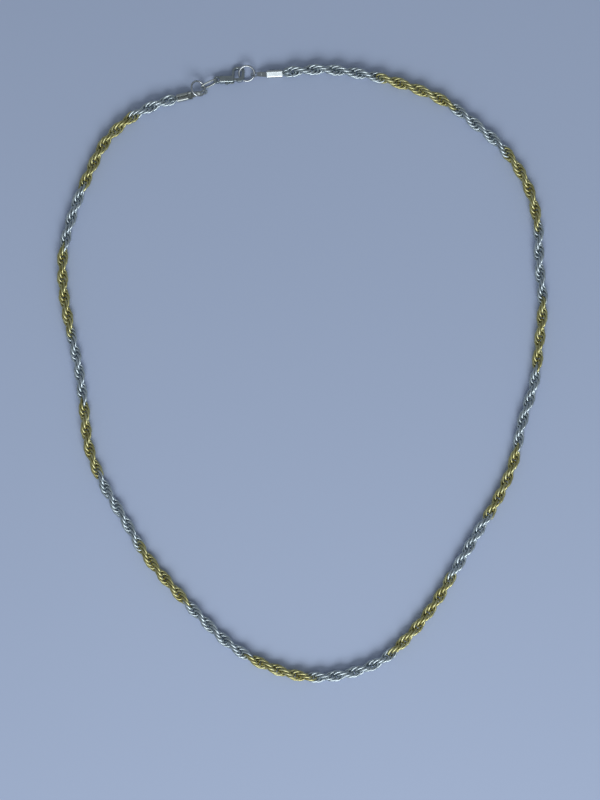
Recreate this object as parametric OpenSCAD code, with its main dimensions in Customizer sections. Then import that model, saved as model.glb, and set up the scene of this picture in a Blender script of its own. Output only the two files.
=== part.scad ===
// Rope chain necklace in two metals, lying closed on a flat surface.
// Millimetres: +Y towards the clasp, +Z up from the surface, origin under the middle of the loop.

/* [Loop] */
// Width of the loop between the middles of the rope
loop_w = 139; // [120:1:160]
// Length of the loop from the middle of the rope at its front to the one at its back
loop_l = 176; // [150:1:200]

/* [Rope] */
// Diameter over the bulges of the rope
rope_d = 3.3; // [2.6:0.1:3.8]

/* [End caps] */
// Width of a cap across its back
cap_w = 2.3; // [2:0.1:2.8]
// Height of a cap from its back to its seam
cap_h = 1.9; // [1.6:0.1:2.3]
// Length of a cap's folded body
cap_len = 3.2; // [2.6:0.1:4.2]
// Length over which the folded sides run out
cap_taper = 1.3; // [0.9:0.1:1.7]
// Thickness of the folded sheet
sheet_t = 0.3; // [0.2:0.02:0.36]
// Outer radius of the folds
fold_r = 0.5; // [0.4:0.05:0.6]
// Width of the open seam between the folded sides
seam_w = 0.7; // [0.4:0.05:1]
// Width of the neck that carries the eyelet
neck_w = 1.4; // [1:0.05:1.6]
// Length from the end of the folded sides to the middle of the eyelet
neck_len = 3.6; // [3:0.1:4.2]
// Outer diameter of the eyelet
eyelet_d = 2.1; // [2:0.05:2.4]
// Diameter of the hole in the eyelet
eyelet_hole_d = 1.3; // [1.2:0.02:1.44]
// Angle that the neck is twisted by
neck_twist = 62; // [50:1:70]

/* [Jump rings] */
// Outer diameter of a jump ring
ring_d = 5; // [4.6:0.05:5.4]
// Thickness of its wire
ring_wire = 0.6; // [0.5:0.02:0.66]
// Width of the joint where its ends meet
ring_joint_w = 0.06; // [0.02:0.02:0.2]

/* [Oval link] */
// Outer length
link_len = 5.5; // [5.2:0.05:5.8]
// Outer width
link_w = 2.6; // [2.4:0.05:2.8]
// Radius of its ends at the middle of the wire
link_end_r = 0.85; // [0.75:0.01:0.9]
// Thickness of its wire
link_wire = 0.5; // [0.4:0.02:0.56]

/* [Clasp] */
// Length from the lever's pin to the middle of the base loop
base_reach = 3.6; // [3.4:0.05:3.8]
// Outer diameter of the base loop
base_d = 2.2; // [2:0.05:2.4]
// Diameter of the hole in the base loop
base_hole_d = 1.3; // [1.2:0.02:1.4]
// Thickness of the base loop
base_t = 0.7; // [0.6:0.02:0.8]
// Height of the body beside the lever
body_w = 2.1; // [1.9:0.05:2.3]
// Thickness of the body
body_t = 1.7; // [1.5:0.02:1.8]
// Diameter of the round that crowns the body along its length
crown_d = 2.4; // [2.3:0.02:2.6]
// Inner width of the hook's eye
eye_w = 2.2; // [2:0.05:2.5]
// Inner height of the hook's eye
eye_h = 3.15; // [2.9:0.05:3.4]
// Width of the hook's bar next to the body
hook_bar_w = 0.6; // [0.5:0.02:0.7]
// Width of the hook's bar at its far end
hook_end_w = 0.8; // [0.6:0.02:0.9]
// Thickness of the hook
hook_t = 0.9; // [0.8:0.02:1]
// Length of the lever from its pin
lever_len = 2.15; // [1.9:0.05:2.3]
// Height of the lever
lever_w = 0.8; // [0.7:0.02:0.9]
// Thickness of the lever
lever_t = 0.7; // [0.5:0.02:0.76]
// How far the thumb tab stands out below the body
tab_out = 0.5; // [0.3:0.05:0.7]
// Diameter of the lever's pin
pin_d = 0.5; // [0.4:0.02:0.56]
// Angle that the lever opens by
lever_open = 35; // [20:1:38]

/* [Hidden] */
$fn = 48;

// Gaps between pieces that touch or pass each other
face_gap = 0.02;
side_gap = 0.05;
tip_gap = 0.1;
pin_fit = 0.02;
pin_run = 0.05;

silver = [0.80, 0.81, 0.80];
gold = [0.83, 0.68, 0.36];

// The middle of the rope in plan, from the right cap's mouth round to the stretch before the left cap,
// as it lies in a loop of the width and length drawn_w and drawn_l
drawn_w = 139;
drawn_l = 176;
drawn_start = [-6, 87];
drawn = [
    [-2, 87.5], [6.5, 88], [18, 86.5], [29.5, 83.5], [40.5, 79], [49.5, 72.5],
    [58.5, 64.5], [65, 54.5], [68, 43.5], [68.5, 31.5], [69.5, 20], [68.5, 8.5], [67, -3],
    [63.5, -14.5], [61, -26], [56.5, -36.5], [50.5, -46.5], [44.5, -56.5], [38.5, -66.5], [31, -76],
    [22.5, -83.5], [11.5, -87.5], [0, -88], [-11.5, -84.5], [-21.5, -78.5], [-30, -70.5],
    [-38, -62], [-45.5, -53], [-51.5, -43], [-57.5, -33], [-62, -22], [-63.5, -10.5], [-65, 1],
    [-67.5, 12.5], [-69.5, 24], [-69.5, 35.5], [-66.5, 47], [-62, 58], [-56.5, 68], [-47.5, 75.5]
];
function in_loop(point) = [point[0] * loop_w / drawn_w, point[1] * loop_l / drawn_l];
rope_start = in_loop(drawn_start);
route = [for (point = drawn) in_loop(point)];
// Directions in plan in which the rope leaves the right cap and enters the left one
start_turn = 3;
end_turn = 13;
// Metal and share of the rope's length of each stretch, in order from the right cap
stretches = [
    ["silver", 98], ["gold", 76], ["silver", 73], ["gold", 82], ["silver", 72], ["gold", 70],
    ["silver", 79], ["gold", 75], ["silver", 71], ["gold", 96], ["silver", 85], ["gold", 68],
    ["silver", 83], ["gold", 72], ["silver", 83], ["gold", 75], ["silver", 72], ["gold", 84],
    ["silver", 63], ["gold", 88], ["silver", 49]
];
rope_sides = 8;
rope_z = rope_d / 2;
// Length between two cross-sections of the rope, in rope diameters
section_step = 2.3;

function unit(turn) = [cos(turn), sin(turn)];
function left_of(turn) = [-sin(turn), cos(turn)];
function last(list) = list[len(list) - 1];

cap_reach = cap_len + cap_taper + neck_len;
ring_r = (ring_d - ring_wire) / 2;

// Clasp, seen along its pin: x runs from the base loop to the hook, and the pin is at 0, 0
corner_r = 0.4;
eye_left = 1.3;
eye_foot = 0.35;
eye_right = eye_left + eye_w;
eye_top = eye_foot + eye_h;
eye_corner_r = 0.95;
hook_left = eye_left - hook_bar_w;
hook_right = eye_right + hook_end_w;
hook_top = eye_top + hook_bar_w;
hook_foot = -0.75;
hook_corner_r = 1.5;
shoulder_y = 2.2;
shoulder_t = 1.3;
slot_left = -1.2;
slot_roof = 0.55;
slot_top = 1.5;
mouth_right = lever_len + tip_gap;
lever_foot = eye_foot - lever_w;
tab_left = -0.85;
tab_slant = 0.15;
tab_w = 0.45;

// Angle by which the oval link's ends reach past its sides, and how much thinner the sides' wire is
end_lap = 3;
side_thinner = 0.01;

// The small pieces lie in a row from the right cap to the left one, each set from the one before.
// Turns and rolls are in degrees; each aside is a step in plan from touching to lying as it does.
floor_gap = 0.01;
clasp_roll = -20;
clasp_pitch = -6.4;
clasp_z = (hook_top * sin(-clasp_roll) + hook_t / 2 * cos(clasp_roll)) * cos(clasp_pitch)
    + (hook_left + hook_corner_r) * sin(clasp_pitch) + 3 * floor_gap;
// Distance from the wire in the hook's eye to the eye's far edge
eye_slack = 0.46;
clasp_aside = -1.9;
ring_right_z = clasp_z - 0.26;
ring_right_tilt = 18;
ring_right_aside = [-0.05, 0.32];
cap_right_z = ring_right_z - 0.04;
cap_right_roll = -22;
link_roll = 64.7;
link_turn = 26;
link_z = (link_w - link_wire) / 2 * sin(link_roll) + link_wire / 2 + floor_gap;
link_aside = [-0.07, -0.02];
cap_left_z = link_z + 0.34;
cap_left_roll = 182;
ring_left_tilt = -14.4;
ring_left_lean = 30.4;
ring_left_turn = -6;
ring_left_z = cap_left_z + ring_r * sin(ring_left_lean) - 0.23;
ring_left_aside = [0.96, -0.42];
cap_left_aside = [-0.23, -0.96];
// Angles at which the jump rings are cut
joint_right = 250;
joint_left = 110;

eyelet_right = rope_start - (cap_reach + face_gap) * unit(start_turn);
ring_right_plan = eyelet_right + ring_right_aside - [ring_r, 0];
clasp_plan = ring_right_plan + [eye_slack + ring_wire / 2 - eye_right - ring_r, clasp_aside];
clasp_at = [clasp_plan[0], clasp_plan[1], clasp_z];
base_plan = clasp_plan - [base_reach * cos(clasp_pitch), 0];
link_half = (link_len - link_wire) / 2 * unit(link_turn);
link_plan = base_plan + link_aside - link_half;
ring_left_edge = link_plan - link_half + ring_left_aside;
ring_left_plan = ring_left_edge - [ring_r * cos(ring_left_lean), 0];
eyelet_left = ring_left_edge + cap_left_aside;
rope_end = eyelet_left - (cap_reach + face_gap) * unit(end_turn);

// The rope's route
function span_point(a, b, c, d, t) =
    0.5 * (2 * b + (c - a) * t + (2 * a - 5 * b + 4 * c - d) * t * t
        + (3 * b - a - 3 * c + d) * t * t * t);

// Points worked out between two points of the route
steps = 8;
lead_in = route[0] - 2 * norm(route[0] - rope_start) * unit(start_turn);
lead_out = last(route) + 2 * norm(rope_end - last(route)) * unit(end_turn);
guides = concat([lead_in, rope_start], route, [rope_end, lead_out]);
line = concat(
    [for (i = [0 : len(guides) - 4], k = [0 : steps - 1])
        span_point(guides[i], guides[i + 1], guides[i + 2], guides[i + 3], k / steps)],
    [rope_end]
);
travel = [
    for (i = 0, s = 0; i < len(line); s = s + norm(line[min(i + 1, len(line) - 1)] - line[i]), i = i + 1) s
];
rope_len = last(travel);
along_x = [for (i = [0 : len(line) - 1]) [travel[i], line[i][0]]];
along_y = [for (i = [0 : len(line) - 1]) [travel[i], line[i][1]]];
function rope_at(s) = [lookup(s, along_x), lookup(s, along_y)];
function rope_turn(s) =
    s <= 0 ? start_turn
    : s >= rope_len ? end_turn
    : let(chord = rope_at(s + sheet_t) - rope_at(s - sheet_t)) atan2(chord[1], chord[0]);

shares = [for (row = stretches) row[1]];
function total(list, count) = count == 0 ? 0 : list[count - 1] + total(list, count - 1);
function stretch_start(i) = rope_len * total(shares, i) / total(shares, len(shares));

// One cross-section of the rope, with flats above and below
function rope_ring(s) =
    let(turn = rope_turn(s), middle = rope_at(s), edge_r = rope_d / 2 / cos(180 / rope_sides))
    [for (k = [0 : rope_sides - 1])
        let(a = (k + 0.5) * 360 / rope_sides, p = middle + edge_r * cos(a) * left_of(turn))
        [p[0], p[1], rope_z + edge_r * sin(a)]];

// One stretch of a single metal, as a tube along the route
module stretch(i) {
    from = stretch_start(i);
    length = stretch_start(i + 1) - from;
    spans = max(1, round(length / (section_step * rope_d)));
    points = [for (j = [0 : spans]) each rope_ring(from + length * j / spans)];
    sides = [
        for (j = [0 : spans - 1], k = [0 : rope_sides - 1])
            let(a = j * rope_sides + k, b = j * rope_sides + (k + 1) % rope_sides)
            each [[a, a + rope_sides, b + rope_sides], [a, b + rope_sides, b]]
    ];
    front = [for (k = [0 : rope_sides - 1]) k];
    back = [for (k = [rope_sides - 1 : -1 : 0]) spans * rope_sides + k];
    polyhedron(points, concat(sides, [front, back]));
}

module rope(metal) {
    for (i = [0 : len(stretches) - 1])
        if (stretches[i][0] == metal) stretch(i);
}

module chain_silver() {
    color(silver) rope("silver");
}

module chain_gold() {
    color(gold) rope("gold");
}

// End caps: x runs from the mouth to the eyelet, and the smooth back faces +z
module rounded_plan(w, h, r) {
    square([w - 2 * r, h], center = true);
    square([w, h - 2 * r], center = true);
    for (x = [-1, 1], y = [-1, 1])
        translate([x * (w / 2 - r), y * (h / 2 - r)]) circle(r);
}

module cap_sheet() {
    difference() {
        rounded_plan(cap_w, cap_h, fold_r);
        rounded_plan(cap_w - 2 * sheet_t, cap_h - 2 * sheet_t, fold_r - sheet_t);
        translate([0, -cap_h / 2]) square([seam_w, cap_h], center = true);
    }
}

module cap_body() {
    past = 1;
    difference() {
        rotate([90, 0, 90]) linear_extrude(cap_len + cap_taper) cap_sheet();
        rotate([90, 0, 0])
            linear_extrude(cap_w + past, center = true)
                polygon([
                    [cap_len, -cap_h / 2 - past],
                    [cap_len, -cap_h / 2],
                    [cap_len + cap_taper, cap_h / 2 - fold_r],
                    [cap_len + cap_taper + past, cap_h / 2 - fold_r],
                    [cap_len + cap_taper + past, -cap_h / 2 - past]
                ]);
    }
}

// The neck comes down from the back to the middle height and then twists
module cap_neck() {
    body_end = cap_len + cap_taper;
    twist_end = cap_reach - eyelet_hole_d / 2 - side_gap;
    twist_start = (body_end + twist_end) / 2 - sheet_t / 2;
    hull() {
        translate([body_end - sheet_t / 2, 0, (cap_h - sheet_t) / 2])
            cube([sheet_t, neck_w, sheet_t], center = true);
        translate([twist_start, 0, 0]) cube([sheet_t, neck_w, sheet_t], center = true);
    }
    translate([twist_start, 0, 0]) rotate([90, 0, 90])
        linear_extrude(twist_end - twist_start, twist = -neck_twist, slices = 8)
            square([neck_w, sheet_t], center = true);
}

module cap_eyelet() {
    translate([cap_reach, 0, 0]) rotate([neck_twist, 0, 0])
        difference() {
            cylinder(d = eyelet_d, h = sheet_t, center = true);
            cylinder(d = eyelet_hole_d, h = 2 * sheet_t, center = true);
        }
}

module end_cap() {
    cap_body();
    cap_neck();
    cap_eyelet();
}

// Round wire bent to an oval of four arcs, with ends of the radius end_r. The ends are a hair thicker
// and reach a little past the sides, so that the four are one solid.
module wire_link(length, width, wire, end_r) {
    end_x = (length - wire) / 2 - end_r;
    side_high = (width - wire) / 2 - end_r;
    side_drop = (end_x * end_x - side_high * side_high) / (2 * side_high);
    side_a = atan(end_x / side_drop);
    for (side = [0, 180]) rotate([0, 0, side]) {
        translate([end_x, 0, 0]) rotate([0, 0, side_a - 90 - end_lap])
            rotate_extrude(angle = 180 - 2 * side_a + 2 * end_lap)
                translate([end_r, 0]) circle(d = wire);
        translate([0, -side_drop, 0]) rotate([0, 0, 90 - side_a])
            rotate_extrude(angle = 2 * side_a)
                translate([side_drop + side_high + end_r, 0]) circle(d = wire - side_thinner);
    }
}

// Jump rings are cut once, on the side given by the angle joint_at
module jump_ring(joint_at) {
    difference() {
        rotate_extrude() translate([(ring_d - ring_wire) / 2, 0]) circle(d = ring_wire);
        rotate([0, 0, joint_at]) translate([0, -ring_joint_w / 2, -ring_wire])
            cube([ring_d, ring_joint_w, 2 * ring_wire]);
    }
}

// A corner-rounded plate between two corners, so that named edges stay where they are
module edge_plan(left, foot, right, top, r) {
    translate([(left + right) / 2, (foot + top) / 2]) rounded_plan(right - left, top - foot, r);
}

module hook_plan() {
    past = 1;
    difference() {
        edge_plan(hook_left, hook_foot, hook_right, hook_top, hook_corner_r);
        edge_plan(eye_left, eye_foot, eye_right, eye_top, eye_corner_r);
        // Mouth of the hook, which the lever closes
        polygon([
            [hook_left - past, hook_foot - past], [hook_left - past, eye_foot], [eye_left, eye_foot],
            [eye_left, eye_foot + eye_corner_r], [mouth_right, eye_foot + eye_corner_r],
            [mouth_right, hook_foot - past]
        ]);
    }
}

module body_plan() {
    body_left = -base_reach + base_hole_d / 2 + side_gap;
    edge_plan(body_left, -body_w / 2, eye_left, body_w / 2, corner_r);
}

module shoulder_plan() {
    edge_plan(hook_left, 0, eye_left, shoulder_y, hook_bar_w / 2 - side_gap);
}

module slot_plan() {
    polygon([
        [slot_left, -body_w], [slot_left, slot_roof], [-corner_r, slot_roof],
        [eye_left + side_gap, slot_top], [eye_left + side_gap, -body_w]
    ]);
}

module lever_plan() {
    edge_plan(-pin_d, lever_foot, lever_len, eye_foot, side_gap);
    circle(d = lever_w);
    // Thumb tab
    tab_foot = -body_w / 2 - tab_out;
    polygon([
        [0, 0], [tab_left, 0], [tab_left - tab_slant, tab_foot],
        [tab_left - tab_slant + tab_w, tab_foot], [0, lever_foot]
    ]);
}

module place_clasp() {
    translate(clasp_at) rotate([clasp_roll, clasp_pitch, 0]) children();
}

module clasp_body() {
    color(silver) place_clasp() difference() {
        union() {
            linear_extrude(hook_t, center = true) hook_plan();
            intersection() {
                linear_extrude(body_t, center = true) body_plan();
                rotate([0, 90, 0]) cylinder(d = crown_d, h = 3 * base_reach, center = true);
            }
            linear_extrude(shoulder_t, center = true) shoulder_plan();
            translate([-base_reach, 0, 0]) cylinder(d = base_d, h = base_t, center = true);
        }
        translate([-base_reach, 0, 0]) cylinder(d = base_hole_d, h = 2 * base_t, center = true);
        linear_extrude(lever_t + 2 * side_gap, center = true) slot_plan();
        cylinder(d = pin_d + 2 * pin_fit, h = 2 * body_t, center = true);
    }
}

module clasp_lever() {
    color(silver) place_clasp() difference() {
        linear_extrude(lever_t, center = true) lever_plan();
        cylinder(d = pin_d + 2 * pin_run, h = 2 * lever_t, center = true);
    }
}

module clasp_pin() {
    color(silver) place_clasp() cylinder(d = pin_d, h = body_t, center = true);
}

module cap_right() {
    color(silver)
        translate([rope_start[0], rope_start[1], cap_right_z]) rotate([cap_right_roll, 0, start_turn + 180])
            translate([face_gap, 0, 0]) end_cap();
}

module cap_left() {
    color(silver)
        translate([rope_end[0], rope_end[1], cap_left_z]) rotate([cap_left_roll, 0, end_turn])
            translate([face_gap, 0, 0]) end_cap();
}

module ring_right() {
    color(silver)
        translate([ring_right_plan[0], ring_right_plan[1], ring_right_z])
            rotate([ring_right_tilt, 0, 0]) jump_ring(joint_right);
}

module ring_left() {
    color(silver)
        translate([ring_left_plan[0], ring_left_plan[1], ring_left_z])
            rotate([ring_left_tilt, 0, ring_left_turn]) rotate([0, ring_left_lean, 0])
                jump_ring(joint_left);
}

module oval_link() {
    color(silver)
        translate([link_plan[0], link_plan[1], link_z])
            rotate([link_roll, 0, link_turn]) wire_link(link_len, link_w, link_wire, link_end_r);
}

chain_silver();
chain_gold();
cap_right();
cap_left();
ring_right();
ring_left();
oval_link();
clasp_body();
clasp_lever();
clasp_pin();
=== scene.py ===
"""Looks of the rope chain necklace: its links, metals, surface, light and camera."""
import bisect
import math
import random

import bpy
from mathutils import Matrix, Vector


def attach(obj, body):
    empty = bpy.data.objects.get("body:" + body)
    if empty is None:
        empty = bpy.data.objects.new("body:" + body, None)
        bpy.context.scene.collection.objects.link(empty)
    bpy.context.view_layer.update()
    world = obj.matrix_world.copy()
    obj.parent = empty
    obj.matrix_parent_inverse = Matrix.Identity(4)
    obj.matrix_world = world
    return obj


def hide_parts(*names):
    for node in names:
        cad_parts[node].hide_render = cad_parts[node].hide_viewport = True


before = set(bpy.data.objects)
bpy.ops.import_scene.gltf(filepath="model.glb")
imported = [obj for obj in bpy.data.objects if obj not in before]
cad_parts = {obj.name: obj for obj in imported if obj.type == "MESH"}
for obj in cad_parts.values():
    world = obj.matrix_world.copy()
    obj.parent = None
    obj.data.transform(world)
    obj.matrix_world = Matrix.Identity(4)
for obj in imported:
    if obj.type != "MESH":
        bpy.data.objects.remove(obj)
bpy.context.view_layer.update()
MM = 0.001
UP = Vector((0, 0, 1))

# The rope's route in plan, as the solids have it, in metres
ROUTE = [
    (-0.006, 0.087), (-0.002, 0.0875), (0.0065, 0.088), (0.018, 0.0865), (0.0295, 0.0835),
    (0.0405, 0.079), (0.0495, 0.0725), (0.0585, 0.0645), (0.065, 0.0545), (0.068, 0.0435),
    (0.0685, 0.0315), (0.0695, 0.020), (0.0685, 0.0085), (0.067, -0.003), (0.0635, -0.0145),
    (0.061, -0.026), (0.0565, -0.0365), (0.0505, -0.0465), (0.0445, -0.0565), (0.0385, -0.0665),
    (0.031, -0.076), (0.0225, -0.0835), (0.0115, -0.0875), (0.0, -0.088), (-0.0115, -0.0845),
    (-0.0215, -0.0785), (-0.030, -0.0705), (-0.038, -0.062), (-0.0455, -0.053),
    (-0.0515, -0.043), (-0.0575, -0.033), (-0.062, -0.022), (-0.0635, -0.0105), (-0.065, 0.001),
    (-0.0675, 0.0125), (-0.0695, 0.024), (-0.0695, 0.0355), (-0.0665, 0.047), (-0.062, 0.058),
    (-0.0565, 0.068), (-0.0475, 0.0755), (-0.0366, 0.0796),
]
# Its direction at its two ends, from x, and the steps of the smooth line between two points
START_TURN, END_TURN = math.radians(3), math.radians(13)
ROUTE_STEPS = 24
ROPE_R = 0.00165

# The rope's metals from its right end on, each with its share of the length
STRETCHES = [
    ("silver", 98), ("gold", 76), ("silver", 73), ("gold", 82), ("silver", 72), ("gold", 70),
    ("silver", 79), ("gold", 75), ("silver", 71), ("gold", 96), ("silver", 85), ("gold", 68),
    ("silver", 83), ("gold", 72), ("silver", 83), ("gold", 75), ("silver", 72), ("gold", 84),
    ("silver", 63), ("gold", 88), ("silver", 49),
]
# A metal shows from a little before the middle of its first link
METAL_LAG = 0.3 * MM

# Half turns that the rope has made at places along it; at a whole number its links lie flat
TURNS = [
    (0.0, -0.4), (0.076, 11.65), (0.111, 17.3), (0.134, 21.0), (0.169, 26.8), (0.215, 35.05),
    (0.273, 45.3), (0.354, 58.35), (0.401, 66.8), (0.469, 78.4),
]
# The rope's direction at a place is that of the line between two points this far to its sides
DIRECTION_REACH = 0.6 * MM

# Links: oval wire rings that stand along the rope, each turned a little from the one before and
# linked with the three before it. LINK_LONG and LINK_SIDE are the radii of a link's middle line,
# WIRE_HIGH and WIRE_WIDE those of its wire, which is thicker on the two long sides.
LINK_LONG, LINK_SIDE = 1.89 * MM, 1.33 * MM
WIRE_HIGH, WIRE_WIDE, SIDE_MORE = 0.25 * MM, 0.32 * MM, 0.07 * MM
# Rough distance between links, and the room left free between the rope's end and the first one
LINK_STEP = LINK_LONG / 1.75
END_ROOM = 0.03 * MM
JITTER_DEGREES, JITTER_SEED = 1.6, 7
# Sides of a link's outline and of its wire
ROUND, ACROSS = 32, 10

# Small links of round wire that fill and close the rope at its caps, at both ends alike:
# distance from the end in mm, turn in degrees, long and side radius in mm
END_LINKS = [(0.32, 70, 0.5, 0.5), (1.12, -82, 0.78, 1.0), (1.5, -42, 1.12, 1.2)]
END_WIRE, END_DROP = 0.22 * MM, 0.1 * MM


# The route as one smooth line

def heading(turn):
    """Direction in plan at an angle from x"""
    return Vector((math.cos(turn), math.sin(turn)))


def spline(points, start_turn, end_turn, steps):
    """Points of the smooth line through the route, with the distance travelled at each"""
    pts = [Vector(p) for p in points]
    first, final = (pts[1] - pts[0]).length, (pts[-1] - pts[-2]).length
    lead_in = pts[1] - 2 * first * heading(start_turn)
    lead_out = pts[-2] + 2 * final * heading(end_turn)
    guides = [lead_in] + pts + [lead_out]
    line = []
    for a, b, c, d in zip(guides, guides[1:], guides[2:], guides[3:]):
        for k in range(steps):
            t = k / steps
            line.append(0.5 * (2 * b + (c - a) * t + (2 * a - 5 * b + 4 * c - d) * t * t
                               + (3 * b - a - 3 * c + d) * t ** 3))
    line.append(pts[-1])
    travel = [0.0]
    for p, q in zip(line, line[1:]):
        travel.append(travel[-1] + (q - p).length)
    return line, travel


LINE, TRAVEL = spline(ROUTE, START_TURN, END_TURN, ROUTE_STEPS)
ROPE_LEN = TRAVEL[-1]


def at(s):
    """The rope's middle at distance s, in plan, carried on straight past the ends"""
    if s <= 0:
        return LINE[0] + s * heading(START_TURN)
    if s >= ROPE_LEN:
        return LINE[-1] + (s - ROPE_LEN) * heading(END_TURN)
    low = bisect.bisect_right(TRAVEL, s) - 1
    t = (s - TRAVEL[low]) / (TRAVEL[low + 1] - TRAVEL[low])
    return LINE[low].lerp(LINE[low + 1], t)


def along(s):
    """Direction of the rope at distance s"""
    d = at(s + DIRECTION_REACH) - at(s - DIRECTION_REACH)
    return Vector((d.x, d.y, 0)).normalized()


def twist(s):
    """Angle by which the rope has turned at distance s"""
    for (low, low_turns), (high, high_turns) in zip(TURNS, TURNS[1:]):
        if s <= high:
            break
    return math.pi * (low_turns + (high_turns - low_turns) * (s - low) / (high - low))


def metal_at(s):
    """Metal of the stretch that holds distance s"""
    total = sum(share for _, share in STRETCHES)
    end = 0.0
    for metal_name, share in STRETCHES:
        end += share / total * ROPE_LEN
        if s < end:
            return metal_name
    return STRETCHES[-1][0]


# The rope's links

def add_link(part, s, angle, height, radii, wire):
    """One closed wire link at distance s of the rope, turned by angle round the rope's middle"""
    verts, faces = part
    long_r, side_r = radii
    high, wide, more = wire
    p = at(s)
    centre = Vector((p.x, p.y, height))
    long_dir = along(s)
    left = Vector((-long_dir.y, long_dir.x, 0))
    side_dir = math.cos(angle) * left + math.sin(angle) * UP
    normal = long_dir.cross(side_dir).normalized()
    base = len(verts)
    for i in range(ROUND):
        a = 2 * math.pi * i / ROUND
        p = centre + long_r * math.cos(a) * long_dir + side_r * math.sin(a) * side_dir
        out = (math.cos(a) / long_r * long_dir + math.sin(a) / side_r * side_dir).normalized()
        thick = high + more * math.sin(a) ** 2
        for j in range(ACROSS):
            b = 2 * math.pi * j / ACROSS
            verts.append(p + thick * math.cos(b) * out + wide * math.sin(b) * normal)
    for i in range(ROUND):
        for j in range(ACROSS):
            n, m = (i + 1) % ROUND, (j + 1) % ACROSS
            faces.append((base + i * ACROSS + j, base + n * ACROSS + j,
                          base + n * ACROSS + m, base + i * ACROSS + m))


def build_links():
    """Vertices and faces of all links, by metal"""
    parts = {"silver": ([], []), "gold": ([], [])}
    margin = LINK_LONG + WIRE_HIGH + END_ROOM
    count = round((ROPE_LEN - 2 * margin) / LINK_STEP)
    step = (ROPE_LEN - 2 * margin) / count
    jitter = random.Random(JITTER_SEED)
    for i in range(count + 1):
        s = margin + i * step
        angle = twist(s) + math.radians(jitter.uniform(-JITTER_DEGREES, JITTER_DEGREES))
        add_link(parts[metal_at(s - METAL_LAG)], s, angle, ROPE_R, (LINK_LONG, LINK_SIDE),
                 (WIRE_HIGH, WIRE_WIDE, SIDE_MORE))
    for end, way in ((0.0, 1), (ROPE_LEN, -1)):
        for reach, degrees, long_r, side_r in END_LINKS:
            s = end + way * reach * MM
            angle = twist(s) + way * math.radians(degrees)
            add_link(parts["silver"], s, angle, ROPE_R - END_DROP, (long_r * MM, side_r * MM),
                     (END_WIRE, END_WIRE, 0.0))
    return parts


def mesh_piece(name, verts, faces, material, smooth=True):
    """New object of one mesh and one material"""
    mesh = bpy.data.meshes.new(name)
    mesh.from_pydata([tuple(v) for v in verts], [], faces)
    mesh.update()
    if smooth:
        mesh.polygons.foreach_set("use_smooth", [True] * len(mesh.polygons))
    obj = bpy.data.objects.new(name, mesh)
    bpy.context.scene.collection.objects.link(obj)
    mesh.materials.append(material)
    return obj


# Materials. Noise scales are in waves per metre, and bump depths in metres.
CLOUD_SCALE, STAIN_SCALE, GRAIN_SCALE = 420, 900, 9000
# Values of the clouds' noise at which a metal has its dark, middle and light colour
CLOUD_PLACES = (0.30, 0.52, 0.72)
# Part of a noise's range that is used
NOISE_LOW, NOISE_HIGH = 0.3, 0.7
# How much of a stain shows where the grain is low and high
STAIN_LOW, STAIN_HIGH = 0.4, 1.0
# How deep the grain is on the links, the small pieces and the bright cap
LINK_GRAIN, SMALL_GRAIN, CAP_GRAIN = 0.000006, 0.000001, 0.0000006
GRAIN_STRENGTH = 0.35
# Rays that the softened edges take at each point
EDGE_SAMPLES = 6


class Nodes:
    """Short names for building a material's node tree"""

    def __init__(self, name):
        self.material = bpy.data.materials.new(name)
        self.material.use_nodes = True
        self.tree = self.material.node_tree
        self.tree.nodes.clear()
        self.shader = self.add("ShaderNodeBsdfPrincipled")
        self.add("ShaderNodeOutputMaterial", {"Surface": self.shader.outputs["BSDF"]})
        self.where = self.add("ShaderNodeTexCoord").outputs["Object"]

    def feed(self, node, inputs):
        """Sets a node's inputs, each to a value or to another node's output"""
        for socket, value in inputs.items():
            if isinstance(value, bpy.types.NodeSocket):
                self.tree.links.new(value, node.inputs[socket])
            else:
                node.inputs[socket].default_value = value

    def add(self, kind, inputs=None, **settings):
        """New node with its inputs and settings"""
        node = self.tree.nodes.new(kind)
        for key, value in settings.items():
            setattr(node, key, value)
        self.feed(node, inputs or {})
        return node

    def noise(self, scale, detail):
        """Noise over the piece, measured in its own metres"""
        inputs = {"Vector": self.where, "Scale": scale, "Detail": detail}
        return self.add("ShaderNodeTexNoise", inputs).outputs["Fac"]

    def ramp(self, fac, stops):
        """Colour ramp with (place, colour) stops"""
        node = self.add("ShaderNodeValToRGB", {"Fac": fac})
        elements = node.color_ramp.elements
        while len(elements) > 1:
            elements.remove(elements[-1])
        for i, (place, colour) in enumerate(stops):
            element = elements[0] if i == 0 else elements.new(place)
            element.position = place
            element.color = (*colour, 1)
        return node.outputs["Color"]

    def spread(self, fac, low, high):
        """Maps the usual range of a noise to low..high"""
        inputs = {"Value": fac, "From Min": NOISE_LOW, "From Max": NOISE_HIGH,
                  "To Min": low, "To Max": high}
        return self.add("ShaderNodeMapRange", inputs).outputs["Result"]

    def bump(self, fac, strength, distance, normal=None):
        """Normal of a fine relief, on the surface's own normal or on the one given"""
        inputs = {"Height": fac, "Strength": strength, "Distance": distance}
        if normal is not None:
            inputs["Normal"] = normal
        return self.add("ShaderNodeBump", inputs).outputs["Normal"]

    def soft_edges(self, radius):
        """Normal that is rounded over the edges"""
        node = self.add("ShaderNodeBevel", {"Radius": radius}, samples=EDGE_SAMPLES)
        return node.outputs["Normal"]


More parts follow.
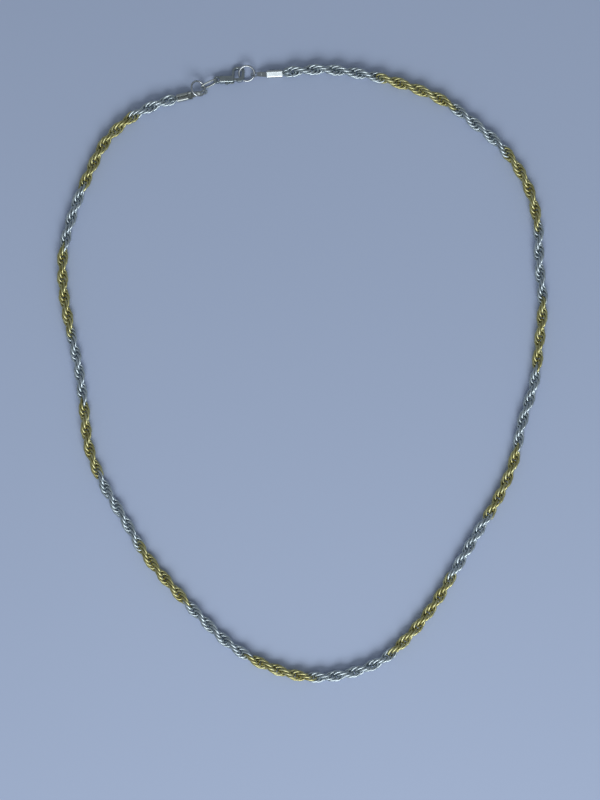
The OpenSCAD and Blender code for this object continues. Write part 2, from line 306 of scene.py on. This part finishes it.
def metal(name, colours, rough, stain, grain, soft=None):
    """Worn metal: colour clouds, stains that dull it, fine grain and edges softened by a radius"""
    n = Nodes(name)
    cloud = n.noise(CLOUD_SCALE, detail=3)
    fine = n.noise(GRAIN_SCALE, detail=2)
    stains = n.spread(n.noise(STAIN_SCALE, detail=4), 0.0, stain)
    dulled = n.add("ShaderNodeMath", {
        0: stains, 1: n.spread(fine, STAIN_LOW, STAIN_HIGH), 2: n.spread(cloud, *rough),
    }, operation="MULTIPLY_ADD")
    edges = n.soft_edges(soft) if soft else None
    n.feed(n.shader, {
        "Base Color": n.ramp(cloud, zip(CLOUD_PLACES, colours)),
        "Metallic": 1.0,
        "Roughness": dulled.outputs[0],
        "Normal": n.bump(fine, GRAIN_STRENGTH, grain, edges),
    })
    return n.material


def board(name, colours, rough):
    """Smooth pale board with a faint change of colour and a fine tooth"""
    n = Nodes(name)
    broad = n.noise(scale=3.0, detail=2)
    fine = n.noise(scale=1500, detail=3)
    n.feed(n.shader, {
        "Base Color": n.ramp(broad, zip((NOISE_LOW, NOISE_HIGH), colours)),
        "Roughness": n.spread(fine, *rough),
        "Normal": n.bump(fine, strength=0.10, distance=0.00002),
        "Specular IOR Level": 0.25,
    })
    return n.material


SILVER = metal("silver_wire", [(0.45, 0.50, 0.51), (0.565, 0.625, 0.63), (0.645, 0.705, 0.715)],
               rough=(0.28, 0.37), stain=0.10, grain=LINK_GRAIN)
GOLD = metal("gold_wire", [(0.465, 0.415, 0.165), (0.585, 0.545, 0.255), (0.655, 0.625, 0.345)],
             rough=(0.30, 0.39), stain=0.10, grain=LINK_GRAIN)
CAP = metal("cap_sheet", [(0.46, 0.48, 0.47), (0.51, 0.53, 0.52), (0.56, 0.58, 0.57)],
            rough=(0.22, 0.28), stain=0.04, grain=CAP_GRAIN)
# Darker, rougher copy of the silver: its darker colour is painted shade on the left cap and the
# oval link
SHADED_SILVER = metal("shaded_silver", [(0.38, 0.40, 0.37), (0.46, 0.48, 0.45), (0.52, 0.54, 0.50)],
             rough=(0.34, 0.42), stain=0.08, grain=SMALL_GRAIN, soft=0.1 * MM)
RING = metal("ring_wire", [(0.44, 0.46, 0.46), (0.52, 0.54, 0.54), (0.58, 0.60, 0.60)],
             rough=(0.20, 0.28), stain=0.06, grain=SMALL_GRAIN)
CLASP = metal("clasp_cast", [(0.36, 0.41, 0.40), (0.43, 0.47, 0.46), (0.49, 0.53, 0.52)],
              rough=(0.24, 0.32), stain=0.06, grain=SMALL_GRAIN, soft=0.3 * MM)
BOARD = board("pale_board", [(0.475, 0.545, 0.705), (0.495, 0.565, 0.725)], rough=(0.55, 0.68))

# The rope
links = build_links()
for metal_name, material, slot in (
    ("silver", SILVER, "silver_links"), ("gold", GOLD, "gold_links"),
):
    piece = mesh_piece("chain_links_" + metal_name, *links[metal_name], material)
    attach(piece, "necklace")
    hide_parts("chain_" + metal_name)

# Metals of the small pieces, with painted shade on the left cap and the oval link from a darker
# silver, and how far the clasp's cast edges are rounded
SMALL_PIECES = {
    "cap_right": CAP, "cap_left": SHADED_SILVER, "ring_right": RING, "ring_left": RING,
    "oval_link": SHADED_SILVER, "clasp_body": CLASP, "clasp_lever": CLASP, "clasp_pin": CLASP,
}
ROUNDED = {"clasp_body": 0.12 * MM, "clasp_lever": 0.1 * MM, "clasp_pin": 0.08 * MM}
# Edges that turn more than this many degrees are rounded
SHARP_DEGREES = 35

for node, material in SMALL_PIECES.items():
    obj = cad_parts[node]
    for material_slot in obj.material_slots:
        material_slot.material = material
    if node in ROUNDED:
        rounding = obj.modifiers.new("rounded_edges", "BEVEL")
        rounding.width = ROUNDED[node]
        rounding.segments = 3
        rounding.limit_method = "ANGLE"
        rounding.angle_limit = math.radians(SHARP_DEGREES)

# The surface and the light
FLOOR_REACH = 2.5
SKY_COLOUR, SKY_STRENGTH = (0.79, 0.88, 1.0, 1), 0.275
CORNERS = [
    (-FLOOR_REACH, -FLOOR_REACH, 0), (FLOOR_REACH, -FLOOR_REACH, 0),
    (FLOOR_REACH, FLOOR_REACH, 0), (-FLOOR_REACH, FLOOR_REACH, 0),
]

floor = mesh_piece("floor", CORNERS, [(0, 1, 2, 3)], BOARD, smooth=False)

world = bpy.data.worlds.new("studio")
bpy.context.scene.world = world
world.use_nodes = True
background = world.node_tree.nodes["Background"]
background.inputs["Color"].default_value = SKY_COLOUR
background.inputs["Strength"].default_value = SKY_STRENGTH


def area_light(name, place, across, energy, colour):
    """Soft light that shines on the middle of the necklace"""
    data = bpy.data.lights.new(name, "AREA")
    data.shape = "RECTANGLE"
    data.size, data.size_y = across
    data.energy = energy
    data.color = colour
    light = bpy.data.objects.new(name, data)
    bpy.context.scene.collection.objects.link(light)
    light.location = place
    to_middle = Vector((0, 0, 0)) - Vector(place)
    light.rotation_euler = to_middle.to_track_quat("-Z", "Y").to_euler()


area_light("key", (0.1, -0.75, 0.65), across=(0.8, 0.5), energy=6.75, colour=(0.87, 0.93, 1.0))
area_light("fill", (0.0, -0.45, 1.1), across=(0.7, 0.7), energy=0.7, colour=(0.84, 0.92, 1.0))

# The camera. The photograph's frame is 174 mm by 232 mm on the surface, seen from straight above.
FRAME_LONG = 0.232
FRAME_MIDDLE = (-0.00087, -0.00786)
LENS_MM, SENSOR_MM = 85, 36

camera_data = bpy.data.cameras.new("camera")
camera_data.lens = LENS_MM
camera_data.sensor_width = SENSOR_MM
camera_data.clip_start = 0.01
camera_data.clip_end = 20
camera = bpy.data.objects.new("camera", camera_data)
bpy.context.scene.collection.objects.link(camera)
height = FRAME_LONG / 2 / (SENSOR_MM / 2 / LENS_MM)
camera.location = (*FRAME_MIDDLE, ROPE_R + height)
bpy.context.scene.camera = camera
bpy.context.scene.view_settings.view_transform = "Standard"
